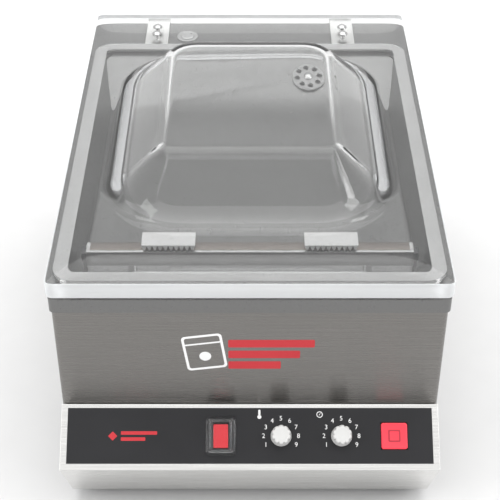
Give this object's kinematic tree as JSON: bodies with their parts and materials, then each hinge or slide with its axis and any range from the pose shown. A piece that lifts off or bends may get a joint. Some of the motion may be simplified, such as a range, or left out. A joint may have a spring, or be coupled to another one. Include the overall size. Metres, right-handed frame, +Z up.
{
  "type": "vacuum chamber sealer",
  "caption": "Tabletop chamber vacuum sealer: steel casing, clear domed hinged lid, lifting seal bar and a sloped control console.",
  "frame": {"origin": "middle of the footprint, on the surface that the feet stand on", "axes": "+X to the operator's right, +Y from the console to the hinges, +Z up"},
  "size_m": [0.33, 0.51, 0.2968],
  "materials": {
    "sheet_steel": "galvanised sheet",
    "case_steel": "brushed, grain across",
    "tray_steel": "satin pressed sheet",
    "console_steel": "brushed, grain across",
    "overlay_film": "matte textured film",
    "black_plastic": "moulded",
    "clear_boot": "clear glossy moulding",
    "red_lens": "translucent red",
    "pot_metal": "plated can",
    "screw_steel": "bright",
    "white_plastic": "moulded",
    "bright_metal": "ground",
    "red_pad": "matte film",
    "board": "solder mask",
    "nylon": "moulded",
    "iron": "varnished laminations",
    "copper_coil": "varnished winding",
    "pump_iron": "cast, unpainted",
    "filter_can": "enamel",
    "hose_rubber": "matte",
    "foot_rubber": "matte",
    "blue_tube": "polyurethane",
    "bar_aluminium": "drawn",
    "ptfe_tape": "PTFE coated glass cloth",
    "brass": "satin",
    "lead_silicone": "silicone sleeve",
    "bezel_metal": "satin",
    "hinge_metal": "satin",
    "clear_acrylic": "polished clear",
    "gasket_silicone": "silicone",
    "pad_silicone": "translucent silicone"
  },
  "bodies": {
    "housing": {"base_pan": "sheet_steel", "rubber_feet": "foot_rubber", "foot_screws": "screw_steel", "casing_wrap": "case_steel", "rear_panel": "case_steel", "rear_panel_screws": "screw_steel", "chamber_tray": "tray_steel", "console_face": "console_steel", "console_belly": "console_steel", "console_overlay": "overlay_film", "switch_frame": "black_plastic", "switch_body": "black_plastic", "switch_cover": "clear_boot", "dial_pots": "pot_metal", "pot_nuts": "screw_steel", "stop_switch": "black_plastic", "control_board": "board", "board_spacers": "nylon", "transformer_core": "iron", "transformer_coil": "copper_coil", "pump_motor": "pump_iron", "pump_block": "pump_iron", "pump_mounts": "foot_rubber", "mist_filter": "filter_can", "suction_port": "tray_steel", "suction_hose": "hose_rubber", "strainer_bridge": "tray_steel", "strainer_disc": "white_plastic", "strainer_screw": "screw_steel", "vent_valve": "black_plastic", "seal_valve": "black_plastic", "air_line": "blue_tube", "lift_cylinders": "bar_aluminium", "floor_grommets": "foot_rubber", "lid_switch_bezel": "bezel_metal", "lid_switch_barrel": "black_plastic", "hinge_brackets": "hinge_metal", "hinge_pins": "bright_metal", "power_inlet": "black_plastic", "inlet_pins": "brass"},
    "lid": {"lid_panel": "clear_acrylic", "lid_gasket": "gasket_silicone", "bag_pads": "pad_silicone", "hinge_leaves": "hinge_metal", "hinge_screws": "screw_steel"},
    "seal_bar_carriage": {"seal_bar": "bar_aluminium", "seal_wire": "bright_metal", "seal_tape": "ptfe_tape", "wire_clamps": "black_plastic", "seal_leads": "lead_silicone", "lift_pistons": "bright_metal"},
    "power_rocker": {"rocker": "red_lens"},
    "temp_dial": {"temp_knob": "white_plastic", "temp_shaft": "bright_metal"},
    "vacuum_dial": {"vacuum_knob": "white_plastic", "vacuum_shaft": "bright_metal"},
    "stop_pad": {"stop_button": "red_pad"},
    "lid_plunger": {"lid_switch_plunger": "bezel_metal"},
    "pump_rotor": {"pump_shaft": "bright_metal", "motor_fan": "black_plastic"}
  },
  "joints": [
    {"name": "lid_hinge", "type": "hinge", "parent": "housing", "child": "lid", "pos_m": [0, 0.2505, 0.232], "axis": [-1, 0, 0], "range_deg": [0, 65]},
    {"name": "seal_bar_lift", "type": "slide", "parent": "housing", "child": "seal_bar_carriage", "axis": [0, 0, 1], "range_m": [0, 0.005], "deforming": ["bag_pads"]},
    {"name": "rocker_tilt", "type": "hinge", "parent": "housing", "child": "power_rocker", "pos_m": [-0.0249, -0.2314, 0.1035], "axis": [1, 0, 0], "range_deg": [-14, 0]},
    {"name": "temp_knob_turn", "type": "hinge", "parent": "housing", "child": "temp_dial", "pos_m": [0.0267, -0.232, 0.1043], "axis": [0, -0.6033, 0.7975], "range_deg": [-135, 135]},
    {"name": "vacuum_knob_turn", "type": "hinge", "parent": "housing", "child": "vacuum_dial", "pos_m": [0.0785, -0.232, 0.1043], "axis": [0, -0.6033, 0.7975], "range_deg": [-135, 135]},
    {"name": "stop_press", "type": "slide", "parent": "housing", "child": "stop_pad", "axis": [0, -0.6033, 0.7975], "range_m": [-0.0007, 0], "stiffness_N_per_m": 1500},
    {"name": "lid_switch_press", "type": "slide", "parent": "housing", "child": "lid_plunger", "axis": [0, 0, 1], "range_m": [-0.0025, 0], "stiffness_N_per_m": 300},
    {"name": "pump_shaft_spin", "type": "hinge", "parent": "housing", "child": "pump_rotor", "pos_m": [0, 0.118, 0.088], "axis": [1, 0, 0], "continuous": true}
  ]
}
